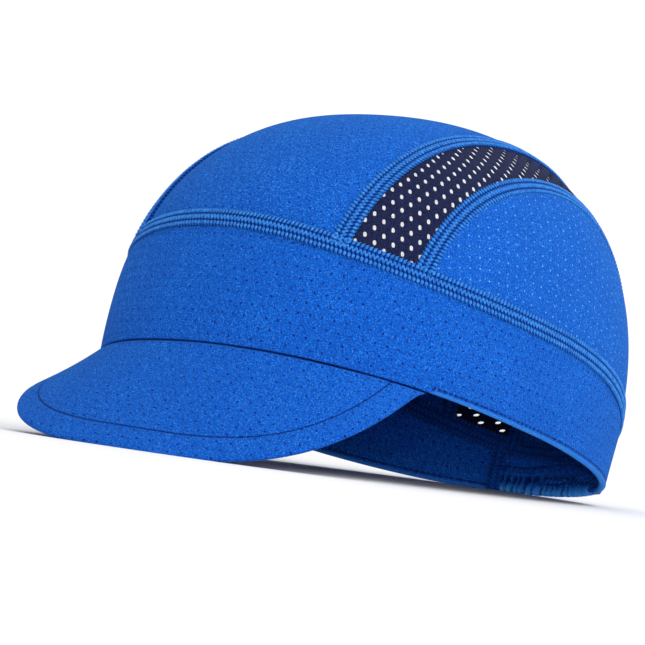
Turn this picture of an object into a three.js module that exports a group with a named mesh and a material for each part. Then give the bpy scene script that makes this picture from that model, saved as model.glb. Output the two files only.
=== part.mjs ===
// A cycling cap: a wide perforated band, a three-part crown with two mesh strips, a gathered elastic
// section at the back and a cloth-covered peak. Lengths are millimetres, angles are degrees.
// The peak points to -Y, the wearer's left is +X and up is +Z. The cap stands on its peak and back hem.
import * as THREE from "three";

// The form that the cap keeps. Heights are measured from the level of the rim above the ears.
const form_half_length = 95;
const form_half_width = 80;
const form_taper = 0.1; // how much wider the form is at the front than at the back, as a share
const form_squareness = 2.11; // 2 is an ellipse in plan, more is squarer
const crown_top = 103.9;
const widest_level = 8.4;
const crown_fullness = 2.43; // 2 is an ellipsoid, more has a flatter top
const crown_lean = 5.9; // how far the top sits behind the middle
const rim_tuck = 0.136; // how fast the form narrows below its widest level

// Heights of the rim, and of the band above it.
const rim_front = 14.6;
const rim_side = -0.7;
const rim_back = -13.1;
const rim_sway = -0.2;
const band_height_front = 42.4;
const band_height_side = 34.7;
const band_height_back = 15.4;
const band_sway = 2.6;

// Half widths in plan of the two seams on each side of the crown.
const centre_seam_front = 45.5;
const centre_seam_middle = 37.7;
const centre_seam_back = 14.5;
const centre_seam_bend = 3.7;
const side_seam_front = 68.9;
const side_seam_middle = 57.9;
const side_seam_back = 36.6;
const side_seam_bend = 3.8;

// Where the upright back seams are, measured from the back towards each side.
const back_seam_left = 29;
const back_seam_right = 15;

// Walls and hems.
const band_wall = 1.6;
const panel_wall = 1.4;
const mesh_wall = 1.1;
const hem_wall = 2.4;
const hem_height = 7;
const hem_step = 1;
const seam_gap = 0.3;

// The gathers of the elastic section.
const gather_pitch = 5.6;
const gather_depth = 0.7;
const gather_fade = 9; // length over which the gathers die out beside a seam

// The mesh strips: columns of openings along a strip, rows across it.
const mesh_columns = 28;
const mesh_rows = 4;
const mesh_opening = 0.62; // share of a cell that its opening takes, along and across

// The peak.
const peak_half_angle = 60; // share of the rim that the peak takes, either side of the front
const peak_length = 46.2;
const peak_length_skew = 3.7; // longer on the left, shorter on the right
const peak_corner_length = 6.1; // longer on both sides
const peak_squareness = 2.9; // how long the edge stays full before it curves in
const peak_roundness = 1.5; // how gently it then runs out
const peak_fan = 82; // how fast the heading turns from the middle towards the ends
const peak_fan_ease = -4.8;
const peak_droop = 57.4;
const peak_droop_ends = -30; // how much less it droops at both ends
const peak_twist = 15; // how much more it droops at the left end, and less at the right
const peak_wall = 2.6;
const peak_edge_wall = 1;
const peak_edge_round = 2;
const peak_end_length = 3;

// How it stands: it leans to the wearer's right, because the peak hangs lower on the left, and its soft
// edge is pressed flat where it meets the surface.
const rest_lean = 3;
const rest_press = 0.8;

// Fineness of the meshes.
const band_step = 7;
const rows_across_centre = 8;
const rows_across_side = 5;
const crown_columns = 28;
const side_columns = 22;
const corner_trim = 1.2;
const halvings = 26; // of a search for a crossing
const levelling_rounds = 12;
const peak_columns = 30;
const steps_per_gather = 5;

const BLUE = new THREE.Color().setRGB(0.012, 0.11, 0.53);
const NAVY = new THREE.Color().setRGB(0.014, 0.02, 0.045);
const clothMaterial = (name) =>
  new THREE.MeshStandardMaterial({ name, color: BLUE, roughness: 0.85, metalness: 0 });
const meshMaterial = (name) =>
  new THREE.MeshStandardMaterial({ name, color: NAVY, roughness: 0.7, metalness: 0 });

const radians = THREE.MathUtils.degToRad;
const lerp = THREE.MathUtils.lerp;
const clamp = THREE.MathUtils.clamp;
const signedPower = (value, power) => Math.sign(value) * Math.abs(value) ** power;

// A level that runs round the head, from its values at the front, above the ears and at the back.
function levelRound(front, side, back, sway) {
  const mean = (front + back + 2 * side) / 4;
  const tilt = (front - back) / 2 - sway;
  const sag = (front + back - 2 * side) / 4;
  return (angle) =>
    mean + tilt * Math.cos(angle) + sag * Math.cos(2 * angle) + sway * Math.cos(3 * angle);
}
const rimLevel = levelRound(rim_front, rim_side, rim_back, rim_sway);
const bandHeight = levelRound(band_height_front, band_height_side, band_height_back, band_sway);
const seamLevel = (angle) => rimLevel(angle) + bandHeight(angle);

// A seam's half width in plan, from its values at the front, the middle and the back.
function seamHalfWidth({ front, middle, back, bend }) {
  const slope = (back - front) / 2;
  const bow = (front + back) / 2 - middle;
  return (y) => {
    const t = y / form_half_length;
    return middle + slope * t + bow * t * t + bend * (t ** 3 - t);
  };
}
const centreSeamWidth = seamHalfWidth({
  front: centre_seam_front,
  middle: centre_seam_middle,
  back: centre_seam_back,
  bend: centre_seam_bend,
});
const sideSeamWidth = seamHalfWidth({
  front: side_seam_front,
  middle: side_seam_middle,
  back: side_seam_back,
  bend: side_seam_bend,
});

// The form in plan at one height: its size there as a share of the widest, and its shift backwards.
function formAt(z) {
  const rise = (z - widest_level) / (crown_top - widest_level);
  if (rise >= 1) return { size: 0, shift: crown_lean };
  if (rise <= 0) return { size: 1 + rim_tuck * rise, shift: 0 };
  return { size: (1 - rise ** crown_fullness) ** (1 / crown_fullness), shift: crown_lean * rise };
}

// A point of the form, by the angle from the front towards the wearer's left, and the height.
function formPoint(angle, z) {
  const { size, shift } = formAt(z);
  const c = signedPower(Math.cos(angle), 2 / form_squareness);
  const s = signedPower(Math.sin(angle), 2 / form_squareness);
  return new THREE.Vector3(
    form_half_width * size * s * (1 + form_taper * c),
    shift - form_half_length * size * c,
    z,
  );
}

// Below zero inside the form, above zero outside it.
function formField(p) {
  const { size, shift } = formAt(p.z);
  if (size <= 0) return 1;
  const c = clamp((shift - p.y) / (form_half_length * size), -1.5, 1.5);
  const s = p.x / (form_half_width * size * (1 + form_taper * clamp(c, -1, 1)));
  return Math.abs(c) ** form_squareness + Math.abs(s) ** form_squareness - 1;
}

// The form's outward direction at a point on it.
function formNormal(p) {
  const step = 0.05;
  const slope = (axis) => {
    const ahead = p.clone();
    const behind = p.clone();
    ahead[axis] += step;
    behind[axis] -= step;
    return formField(ahead) - formField(behind);
  };
  return new THREE.Vector3(slope("x"), slope("y"), slope("z")).normalize();
}

// Halving search for the place where a rising function passes zero.
function crossing(low, high, value) {
  for (let i = 0; i < halvings; i++) {
    const middle = (low + high) / 2;
    if (value(middle) < 0) low = middle;
    else high = middle;
  }
  return (low + high) / 2;
}

// The crown is addressed from a point inside the head: over is the angle from the front over the top
// to the back, and out is the angle away from the middle towards either side.
const crown_centre = new THREE.Vector3(0, 0, widest_level);
function formPointToward(heading) {
  const at = (reach) => crown_centre.clone().addScaledVector(heading, reach);
  return at(crossing(0, 2 * form_half_length, (reach) => formField(at(reach))));
}
function crownPoint(over, out) {
  const ahead = -Math.cos(out) * Math.cos(over);
  const up = Math.cos(out) * Math.sin(over);
  return formPointToward(new THREE.Vector3(Math.sin(out), ahead, up));
}

// The angle round the head of a point on the form.
function formAngle(p) {
  const { size, shift } = formAt(p.z);
  const c = clamp((shift - p.y) / (form_half_length * size), -1, 1);
  const s = p.x / (form_half_width * size * (1 + form_taper * c));
  return Math.atan2(signedPower(s, form_squareness / 2), signedPower(c, form_squareness / 2));
}

// How far a point lies above the seam between crown and band.
const aboveBandSeam = (p) => p.z - seamLevel(formAngle(p));

// The out angle of a lengthwise seam at one over angle.
function seamOut(over, halfWidth) {
  const pointAt = (reach) => {
    const y = -reach * Math.cos(over);
    return new THREE.Vector3(halfWidth(y), y, crown_centre.z + reach * Math.sin(over));
  };
  const reach = crossing(0, 2 * form_half_length, (length) => formField(pointAt(length)));
  return Math.atan2(pointAt(reach).x, reach);
}

// Moves a boundary along the cloth by a small length.
const alongCloth = (length) => length / form_half_width;

// The stretch of a lengthwise line that lies above the band seam, a little clear of it. Both ends are
// looked for from a little below the level of the crown's centre.
function crownStretch(outAt) {
  const height = (over) => aboveBandSeam(crownPoint(over, outAt(over))) - seam_gap / 2;
  const below = radians(12);
  const front = crossing(-below, Math.PI / 2, height);
  const back = crossing(Math.PI + below, Math.PI / 2, height);
  return [front, back];
}

// A closed shell between two matching grids of points, an outer and an inner one. Columns and rows run
// so that the outer grid faces outwards by the right-hand rule.
class ShellBuilder {
  constructor() {
    this.points = [];
    this.faces = [];
  }
  point(p) {
    this.points.push(p.x, p.y, p.z);
    return this.points.length / 3 - 1;
  }
  triangle(a, b, c) {
    this.faces.push(a, b, c);
  }
  quad(a, b, c, d) {
    this.triangle(a, b, c);
    this.triangle(a, c, d);
  }
  geometry() {
    const made = new THREE.BufferGeometry();
    made.setAttribute("position", new THREE.Float32BufferAttribute(this.points, 3));
    made.setIndex(this.faces);
    return made;
  }
}

// pointAt(column share, row share, inside) gives a point of the outer or the inner face.
// pierced(column, row) says which cells have an opening, and opening is its share of the cell.
function shellGeometry({ columns, rows, pointAt, pierced = () => false, opening = [0, 0] }) {
  const shell = new ShellBuilder();
  const face = (inside) => {
    const grid = [];
    for (let i = 0; i <= columns; i++) {
      grid.push([]);
      for (let j = 0; j <= rows; j++) grid[i].push(shell.point(pointAt(i / columns, j / rows, inside)));
    }
    return grid;
  };
  const outer = face(false);
  const inner = face(true);
  for (let i = 0; i < columns; i++) {
    for (let j = 0; j < rows; j++) {
      const cell = (grid) => [grid[i][j], grid[i + 1][j], grid[i + 1][j + 1], grid[i][j + 1]];
      const above = cell(outer);
      const below = cell(inner);
      if (!pierced(i, j)) {
        shell.quad(...above);
        shell.quad(...[...below].reverse());
        continue;
      }
      pierceCell(shell, above, below, (u, v, inside) =>
        pointAt((i + u) / columns, (j + v) / rows, inside), opening);
    }
  }
  for (let i = 0; i < columns; i++) {
    shell.quad(inner[i][0], inner[i + 1][0], outer[i + 1][0], outer[i][0]);
    shell.quad(outer[i][rows], outer[i + 1][rows], inner[i + 1][rows], inner[i][rows]);
  }
  for (let j = 0; j < rows; j++) {
    shell.quad(outer[0][j], outer[0][j + 1], inner[0][j + 1], inner[0][j]);
    shell.quad(inner[columns][j], inner[columns][j + 1], outer[columns][j + 1], outer[columns][j]);
  }
  return shell.geometry();
}

// A cell with a six-sided opening, whose first corner faces the cell's low column side. Each corner of
// the cell is joined to the opening's two nearest corners.
function pierceCell(shell, above, below, at, [along, across]) {
  const ring = [];
  for (let k = 0; k < 6; k++) {
    const turn = radians(180 + 60 * k);
    ring.push([0.5 + (along / 2) * Math.cos(turn), 0.5 + (across / 2) * Math.sin(turn)]);
  }
  const rim = (corner, hole, triangle) => {
    triangle(corner[0], hole[1], hole[0]);
    triangle(corner[0], hole[2], hole[1]);
    triangle(corner[0], corner[1], hole[2]);
    triangle(corner[1], hole[3], hole[2]);
    triangle(corner[1], corner[2], hole[3]);
    triangle(corner[2], hole[4], hole[3]);
    triangle(corner[2], hole[5], hole[4]);
    triangle(corner[2], corner[3], hole[5]);
    triangle(corner[3], hole[0], hole[5]);
    triangle(corner[3], corner[0], hole[0]);
  };
  const top = ring.map(([u, v]) => shell.point(at(u, v, false)));
  const bottom = ring.map(([u, v]) => shell.point(at(u, v, true)));
  rim(above, top, (a, b, c) => shell.triangle(a, b, c));
  rim(below, bottom, (a, b, c) => shell.triangle(a, c, b));
  for (let k = 0; k < 6; k++) {
    const next = (k + 1) % 6;
    shell.quad(top[k], top[next], bottom[next], bottom[k]);
  }
}

// Goes inwards through the cloth from a point of the form.
const inward = (p, depth) => p.clone().addScaledVector(formNormal(p), -depth);

// The front and back bands. Rows lie at chosen heights above the rim: the hem is thicker than the cloth.
const left_seam_angle = radians(180 - back_seam_left);
const right_seam_angle = radians(180 + back_seam_right);
const full_turn = 2 * Math.PI;

function bandGeometry({ from, to, step, rowsAboveHem, gatherAt = () => 0 }) {
  const ease = alongCloth(seam_gap / 2);
  const angleAt = (share) => lerp(from + ease, to - ease, share);
  const heights = [0, hem_height, hem_height + hem_step];
  const rows = heights.length - 1 + rowsAboveHem;
  const heightAt = (angle, row) => {
    if (row < heights.length) return heights[row];
    const hem_top = heights[heights.length - 1];
    const top = bandHeight(angle) - seam_gap / 2;
    return lerp(hem_top, top, (row - heights.length + 1) / rowsAboveHem);
  };
  const pointAt = (u, v, inside) => {
    const angle = angleAt(u);
    const row = Math.round(v * rows);
    const height = heightAt(angle, row);
    const p = formPoint(angle, rimLevel(angle) + height);
    const thickness = row < 2 ? hem_wall : band_wall;
    const ripple = gatherAt(u) * (1 - height / bandHeight(angle));
    return inward(p, (inside ? thickness : 0) - ripple);
  };
  const columns = Math.ceil(((to - from) * form_half_length) / step);
  return shellGeometry({ columns, rows, pointAt });
}

function frontBandGeometry() {
  return bandGeometry({
    from: right_seam_angle - full_turn,
    to: left_seam_angle,
    step: band_step,
    rowsAboveHem: 4,
  });
}

// The elastic section ripples in and out, most at the rim and least beside its seams.
function backBandGeometry() {
  const length = (right_seam_angle - left_seam_angle) * form_half_length;
  const gathers = Math.round(length / gather_pitch);
  const gatherAt = (share) => {
    const beside = Math.min(share, 1 - share) * length;
    return gather_depth * Math.min(1, beside / gather_fade) * Math.sin(full_turn * gathers * share);
  };
  return bandGeometry({
    from: left_seam_angle,
    to: right_seam_angle,
    step: gather_pitch / steps_per_gather,
    rowsAboveHem: 2,
    gatherAt,
  });
}

// The crown's lengthwise panels. A line of a panel runs from the front band to the back band, and
// lineOut gives its out angle at an over angle.
function lengthwiseGeometry({ columns, rows, wall, lineOut, pierced, opening }) {
  const stretches = new Map();
  const stretchOf = (v) => {
    if (!stretches.has(v)) stretches.set(v, crownStretch((over) => lineOut(over, v)));
    return stretches.get(v);
  };
  const pointAt = (u, v, inside) => {
    const [front, back] = stretchOf(v);
    const over = lerp(front, back, u);
    const p = crownPoint(over, lineOut(over, v));
    return inside ? inward(p, wall) : p;
  };
  return shellGeometry({ columns, rows, pointAt, pierced, opening });
}

const besideSeam = alongCloth(seam_gap / 2);
const centreSeamOut = (over) => seamOut(over, centreSeamWidth);
const sideSeamOut = (over) => seamOut(over, sideSeamWidth);

function centrePanelGeometry() {
  return lengthwiseGeometry({
    columns: crown_columns,
    rows: rows_across_centre,
    wall: panel_wall,
    lineOut: (over, v) => (centreSeamOut(over) - besideSeam) * (1 - 2 * v),
  });
}

// A mesh strip has an opening in every other cell, as in a chequered board.
function meshStripGeometry(side) {
  return lengthwiseGeometry({
    columns: mesh_columns,
    rows: mesh_rows,
    wall: mesh_wall,
    lineOut: (over, v) => {
      const outer = sideSeamOut(over) - besideSeam;
      const inner = centreSeamOut(over) + besideSeam;
      return side > 0 ? lerp(outer, inner, v) : -lerp(inner, outer, v);
    },
    pierced: (column, row) => (column + row) % 2 === 1,
    opening: [mesh_opening, mesh_opening],
  });
}

// A side panel spans from the band seam up to the side seam, and ends in two corners.
function sidePanelGeometry(side) {
  const seamPoint = (over) => crownPoint(over, sideSeamOut(over) + besideSeam);
  const [front, back] = crownStretch((over) => sideSeamOut(over) + besideSeam);
  const trim = corner_trim / form_half_length;
  const frontAngle = formAngle(seamPoint(front));
  const backAngle = formAngle(seamPoint(back));
  const pointAt = (u, v, inside) => {
    const share = lerp(trim, 1 - trim, u);
    const angle = lerp(frontAngle, backAngle, share);
    const low = formPoint(angle, seamLevel(angle) + seam_gap / 2);
    const high = seamPoint(lerp(front, back, share));
    const heading = low.lerp(high, side > 0 ? v : 1 - v).sub(crown_centre).normalize();
    const p = formPointToward(heading);
    p.x *= side;
    return inside ? inward(p, panel_wall) : p;
  };
  return shellGeometry({ columns: side_columns, rows: rows_across_side, pointAt });
}

// The peak leaves the rim along straight lines that fan out towards its ends and droop.
function peakLine(u) {
  const angle = u * radians(peak_half_angle);
  const heading = radians(peak_fan * u + peak_fan_ease * u ** 3);
  const droop = radians(peak_droop + peak_twist * u + peak_droop_ends * u * u);
  const outline = (1 - Math.abs(u) ** peak_squareness) ** peak_roundness;
  const length = (peak_length + peak_length_skew * u + peak_corner_length * u * u) * outline;
  const ahead = new THREE.Vector3(Math.sin(heading), -Math.cos(heading), 0);
  const up = new THREE.Vector3(0, 0, 1);
  return {
    root: formPoint(angle, rimLevel(angle)),
    length,
    along: ahead.clone().multiplyScalar(Math.cos(droop)).addScaledVector(up, -Math.sin(droop)),
    across: ahead.clone().multiplyScalar(Math.sin(droop)).addScaledVector(up, Math.cos(droop)),
  };
}

// The peak is thinner along its folded edge and where it narrows at its ends.
function peakGeometry() {
  const reach = crossing(0, 1, (u) => peak_end_length - peakLine(u).length);
  const rowsOut = [0, 0.12, 0.3, 0.5, 0.7, 0.88, 1];
  const rows = rowsOut.length;
  const pointAt = (columnShare, rowShare, inside) => {
    const { root, length, along, across } = peakLine(reach * Math.sin(Math.PI * (columnShare - 0.5)));
    const row = rows - Math.round(rowShare * rows);
    if (row === 0) {
      const p = inside ? inward(root, hem_wall) : root;
      return p.add(new THREE.Vector3(0, 0, -seam_gap));
    }
    const edge = Math.min(peak_edge_round, length / 3);
    const out = row < rows ? rowsOut[row] * (length - edge) : length;
    const thickest = Math.min(peak_wall, peak_edge_wall + length / 4);
    const thickness = row < rows ? thickest : peak_edge_wall;
    const sink = (thickest - thickness) / 2 + (inside ? thickness : 0);
    return root.addScaledVector(along, out).addScaledVector(across, -sink);
  };
  return shellGeometry({ columns: peak_columns, rows, pointAt });
}

const geometries = {
  front_band: frontBandGeometry(),
  back_band: backBandGeometry(),
  centre_panel: centrePanelGeometry(),
  mesh_left: meshStripGeometry(1),
  mesh_right: meshStripGeometry(-1),
  side_panel_left: sidePanelGeometry(1),
  side_panel_right: sidePanelGeometry(-1),
  peak: peakGeometry(),
};

// The cap also turns about the ear-to-ear axis, until its peak and its back hem are equally low.
function restingPose(turn) {
  const lean = new THREE.Matrix4().makeRotationY(-radians(rest_lean));
  return lean.multiply(new THREE.Matrix4().makeRotationX(turn));
}

function lowestPoint(geometry, pose) {
  const positions = geometry.getAttribute("position");
  const p = new THREE.Vector3();
  let lowest = new THREE.Vector3(0, 0, Infinity);
  for (let i = 0; i < positions.count; i++) {
    p.fromBufferAttribute(positions, i).applyMatrix4(pose);
    if (p.z < lowest.z) lowest = p.clone();
  }
  return lowest;
}

function restingTurn() {
  let turn = 0;
  for (let i = 0; i < levelling_rounds; i++) {
    const front = lowestPoint(geometries.peak, restingPose(turn));
    const back = lowestPoint(geometries.back_band, restingPose(turn));
    turn += (front.z - back.z) / (back.y - front.y);
  }
  return turn;
}

// Sets every piece down with the origin under the middle of the cap, and presses the soft edge flat.
function setDown() {
  const pose = restingPose(restingTurn());
  const low = lowestPoint(geometries.back_band, pose).z + rest_press;
  const box = new THREE.Box3();
  for (const geometry of Object.values(geometries)) {
    geometry.applyMatrix4(pose);
    geometry.translate(0, 0, -low);
    box.union(new THREE.Box3().setFromBufferAttribute(geometry.getAttribute("position")));
  }
  const centre = box.getCenter(new THREE.Vector3());
  for (const geometry of Object.values(geometries)) {
    geometry.translate(-centre.x, -centre.y, 0);
    const positions = geometry.getAttribute("position");
    for (let i = 0; i < positions.count; i++) positions.setZ(i, Math.max(0, positions.getZ(i)));
  }
}

setDown();

const cap = new THREE.Group();
for (const [name, geometry] of Object.entries(geometries)) {
  geometry.computeVertexNormals();
  const material = name.startsWith("mesh") ? meshMaterial(name) : clothMaterial(name);
  const piece = new THREE.Mesh(geometry, material);
  piece.name = name;
  cap.add(piece);
}

export default cap;
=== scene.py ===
"""A cycling cap: knitted panels, mesh strips, flat sewn seams and a gathered back, in a soft studio."""

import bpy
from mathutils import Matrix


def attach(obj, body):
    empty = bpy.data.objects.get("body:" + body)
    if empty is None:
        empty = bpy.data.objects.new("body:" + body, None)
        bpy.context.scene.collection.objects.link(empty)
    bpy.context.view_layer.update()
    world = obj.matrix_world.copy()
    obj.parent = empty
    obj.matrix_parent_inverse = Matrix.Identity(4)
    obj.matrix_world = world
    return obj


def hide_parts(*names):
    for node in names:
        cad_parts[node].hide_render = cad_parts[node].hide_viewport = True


bl_info = {
    "name": "Cycling cap",
    "version": (1, 0, 0),
    "blender": (4, 5, 0),
    "location": "View3D > Sidebar > Cap",
    "description": "Dresses a cycling cap in knitted cloth, mesh strips and flat sewn seams",
    "category": "Object",
}

import functools
import math

import bmesh
import bpy
import numpy as np
from mathutils import Matrix, Vector

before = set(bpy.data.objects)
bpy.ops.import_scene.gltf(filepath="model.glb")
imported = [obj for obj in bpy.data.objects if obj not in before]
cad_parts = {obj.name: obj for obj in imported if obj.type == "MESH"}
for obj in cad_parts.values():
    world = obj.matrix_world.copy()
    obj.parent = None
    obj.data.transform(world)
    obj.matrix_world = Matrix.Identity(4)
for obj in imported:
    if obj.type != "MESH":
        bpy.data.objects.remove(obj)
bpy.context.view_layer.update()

MM = 0.001  # the shapes below are worked out in millimetres, on an upright head form

# Head form
FORM_HALF_LENGTH = 95
FORM_HALF_WIDTH = 80
FORM_TAPER = 0.1
FORM_SQUARENESS = 2.11
CROWN_TOP = 103.9
WIDEST_LEVEL = 8.4
CROWN_FULLNESS = 2.43
CROWN_LEAN = 5.9
RIM_TUCK = 0.136

# Levels round the head, as front, side, back and sway
RIM_LEVELS = (14.6, -0.7, -13.1, -0.2)
BAND_HEIGHTS = (42.4, 34.7, 15.4, 2.6)

# Lengthwise seams, as half widths at the front, middle and back, and their bend
CENTRE_SEAM = (45.5, 37.7, 14.5, 3.7)
SIDE_SEAM = (68.9, 57.9, 36.6, 3.8)
BACK_SEAM_LEFT = 29
BACK_SEAM_RIGHT = 15

# Peak
PEAK_HALF_ANGLE = 60
PEAK_LENGTH = 46.2
PEAK_LENGTH_SKEW = 3.7
PEAK_CORNER_LENGTH = 6.1
PEAK_SQUARENESS = 2.9
PEAK_ROUNDNESS = 1.5
PEAK_FAN = 82
PEAK_FAN_EASE = -4.8
PEAK_DROOP = 57.4
PEAK_DROOP_ENDS = -30
PEAK_TWIST = 15
PEAK_WALL = 2.6
PEAK_END = 0.9995  # just short of its corners, where it would have no length

# Resting pose on the table
REST_LEAN = 3
REST_TURN = -3.2208826899
REST_SHIFT = (0.68402, 11.69197, 18.01861)

# Walls and small distances
CLOTH_WALL = 1.1
PANEL_WALL = 1.4
HEM_WALL = 2.4
HEM_HEIGHT = 7
HEM_STITCH_DROP = 4  # how far its stitch line goes down, out of sight, at the peak
SEAM_GAP = 0.3
SEAT_DEPTH = 0.35  # how far the cloth dips towards a seam
SEAT_WIDTH = 3.2

BAND_RADIUS = 88  # about that of the whole band
BAND_MIDDLE = 15  # the height at which lengths round the band are measured
MERGE = 0.05 * MM  # how near two vertices of a mesh strip are to become one

# Turn of the mesh's lattice against its strip, and the flat square of mesh that a strip is cut from
MESH_TURN = 27
MESH_TURN_MIDDLE = 97
MESH_TURN_EASE = 30
MESH_SKEW = 10
MESH_SQUARE = 400
MESH_SQUARE_CORNER = 90
MESH_SINK = 0.2
NET_SINK = 0.14
NET_WALL = 0.12

# How much further than the rest some seams stand off the cloth: the band's is sewn over the ends of the
# others, and those beside the centre panel show as a rim on the cap's outline
SEAM_PROUD = {"band_seam": 0.3, "centre_seam_left": 0.3, "centre_seam_right": 0.7}

# Pattern of the cloth
DOT_PITCH = 4.15
SIDE_DOTS_TURN = 16  # how far the side panels are cut off the grain of the cloth
HEM_STITCH_PITCH = 2.2
ELASTIC_LENGTH = 73
GATHER_PITCH = 3.9
ELASTIC_STITCH_HEIGHT = 4.2
ELASTIC_STITCH_PITCH = 3.6
FAR_FROM_SEWING = 50  # the third number of the pattern where no crease is near

# Viewpoint, in the form's own frame
VIEW_AZIMUTH = 44.02
VIEW_ELEVATION = -4.41
VIEW_ROLL = 7.72
VIEW_DISTANCE = 3000
VIEW_SCALE = 2.95  # pixels to a millimetre at the middle of the cap
VIEW_MIDDLE = (0, 0, 50)
VIEW_MIDDLE_PIXEL = (385.06, 276.68)
IMAGE_SIDE = 645
SENSOR_WIDTH = 36

CLOTH_MAP = "cloth"  # every piece carries its flat pattern, in millimetres

REST_POSE = np.array(
    Matrix.Rotation(math.radians(-REST_LEAN), 3, "Y") @ Matrix.Rotation(math.radians(REST_TURN), 3, "X")
)


# Form


def signed_power(value, power):
    return np.sign(value) * np.abs(value) ** power


def level_round(front, side, back, sway):
    """A level that runs round the head, by the angle from the front."""
    mean = (front + back + 2 * side) / 4
    tilt = (front - back) / 2 - sway
    sag = (front + back - 2 * side) / 4

    def level(angle):
        return mean + tilt * np.cos(angle) + sag * np.cos(2 * angle) + sway * np.cos(3 * angle)

    return level


rim_level = level_round(*RIM_LEVELS)
band_height = level_round(*BAND_HEIGHTS)


def seam_level(angle):
    return rim_level(angle) + band_height(angle)


def seam_half_width(front, middle, back, bend):
    """A lengthwise seam's distance from the middle of the cap, by how far back it is."""
    slope = (back - front) / 2
    bow = (front + back) / 2 - middle

    def half_width(y):
        t = y / FORM_HALF_LENGTH
        return middle + slope * t + bow * t * t + bend * (t**3 - t)

    return half_width


centre_seam_width = seam_half_width(*CENTRE_SEAM)
side_seam_width = seam_half_width(*SIDE_SEAM)


def form_at(z):
    """The form's size in plan and its shift backwards at a height."""
    rise = (z - WIDEST_LEVEL) / (CROWN_TOP - WIDEST_LEVEL)
    dome = (1 - np.clip(rise, 0, 1) ** CROWN_FULLNESS) ** (1 / CROWN_FULLNESS)
    size = np.where(rise > 0, dome, 1 + RIM_TUCK * rise)
    return size, CROWN_LEAN * np.maximum(rise, 0)


def form_point(angle, z):
    size, shift = form_at(z)
    c = signed_power(np.cos(angle), 2 / FORM_SQUARENESS)
    s = signed_power(np.sin(angle), 2 / FORM_SQUARENESS)
    x = FORM_HALF_WIDTH * size * s * (1 + FORM_TAPER * c)
    y = shift - FORM_HALF_LENGTH * size * c
    return np.stack(np.broadcast_arrays(x, y, z), axis=-1)


def form_shares(point):
    size, shift = form_at(point[..., 2])
    size = np.maximum(size, 1e-6)
    c = np.clip((shift - point[..., 1]) / (FORM_HALF_LENGTH * size), -1.5, 1.5)
    s = point[..., 0] / (FORM_HALF_WIDTH * size * (1 + FORM_TAPER * np.clip(c, -1, 1)))
    return c, s


def form_field(point):
    c, s = form_shares(point)
    return np.abs(c) ** FORM_SQUARENESS + np.abs(s) ** FORM_SQUARENESS - 1


def form_normal(point):
    steps = 0.05 * np.eye(3)
    slope = np.stack([form_field(point + step) - form_field(point - step) for step in steps], axis=-1)
    return slope / np.linalg.norm(slope, axis=-1, keepdims=True)


def form_angle(point):
    c, s = form_shares(point)
    c = np.clip(c, -1, 1)
    return np.arctan2(signed_power(s, FORM_SQUARENESS / 2), signed_power(c, FORM_SQUARENESS / 2))


def crossing(low, high, value):
    """Halves the way between low and high until value, which rises from low, passes zero."""
    low, high = np.broadcast_arrays(low, high)
    for _ in range(26):
        middle = (low + high) / 2
        below = value(middle) < 0
        low = np.where(below, middle, low)
        high = np.where(below, high, middle)
    return (low + high) / 2


def form_point_toward(heading):
    centre = np.array([0, 0, WIDEST_LEVEL])

    def at(reach):
        return centre + heading * reach[..., None]

    far = np.full(heading.shape[:-1], 2.0 * FORM_HALF_LENGTH)
    return at(crossing(np.zeros_like(far), far, lambda reach: form_field(at(reach))))


def crown_point(over, out):
    """A point of the crown, by the angles over it from the front and out from its middle."""
    heading = (np.sin(out), -np.cos(out) * np.cos(over), np.cos(out) * np.sin(over))
    return form_point_toward(np.stack(np.broadcast_arrays(*heading), axis=-1))


def seam_out(over, half_width):
    """The out angle of a lengthwise seam."""

    def point_at(reach):
        y = -reach * np.cos(over)
        return np.stack([half_width(y), y, WIDEST_LEVEL + reach * np.sin(over)], axis=-1)

    far = np.full(np.shape(over), 2.0 * FORM_HALF_LENGTH)
    reach = crossing(np.zeros_like(far), far, lambda length: form_field(point_at(length)))
    return np.arctan2(point_at(reach)[..., 0], reach)


def centre_seam_out(over):
    return seam_out(over, centre_seam_width)


def side_seam_out(over):
    return seam_out(over, side_seam_width)


def crown_stretch(out_at, gap=SEAM_GAP / 2):
    """The over angles at which a lengthwise line leaves and meets the band."""

    def height(over):
        point = crown_point(over, out_at(over))
        return point[..., 2] - seam_level(form_angle(point)) - gap

    below = math.radians(12)
    front = crossing(-below, math.pi / 2, height)
    back = crossing(math.pi + below, math.pi / 2, height)
    return front, back


def along_cloth(length):
    return length / FORM_HALF_WIDTH


def settle(points):
    """Sets points of the head form down on the table, in metres, and presses them flat there."""
    placed = turn_with_cap(points) + np.array(REST_SHIFT)
    placed[..., 2] = np.maximum(placed[..., 2], 0)
    return placed * MM


def turn_with_cap(direction):
    return direction @ REST_POSE.T


def unevenness(along, across, size):
    """Gentle waves of worn cloth, between about -1 and 1."""
    a = along / size
    b = across / size
    waves = np.sin(a + 0.7 * np.sin(0.8 * b)) + np.sin(1.3 * b - 0.5 * a + 1.1)
    return (waves + 0.6 * np.sin(1.9 * a + 1.7 * b)) / 2.6


# Mesh making


def grid(columns, rows):
    """A flat sheet one unit each way, to be laid on the form."""
    sheet = bmesh.new()
    bmesh.ops.create_grid(sheet, x_segments=columns, y_segments=rows, size=0.5)
    return sheet


def shares(sheet):
    places = np.array([vert.co[:2] for vert in sheet.verts]) + 0.5
    return np.clip(places[:, 0], 0, 1), np.clip(places[:, 1], 0, 1)


def lay(sheet, points, flat):
    """Moves a sheet's vertices onto the form, and keeps where each is on the flat pattern."""
    layer = sheet.verts.layers.float_vector.new(CLOTH_MAP)
    for vert, point, place in zip(sheet.verts, settle(points), flat):
        vert.co = point
        vert[layer] = place


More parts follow.
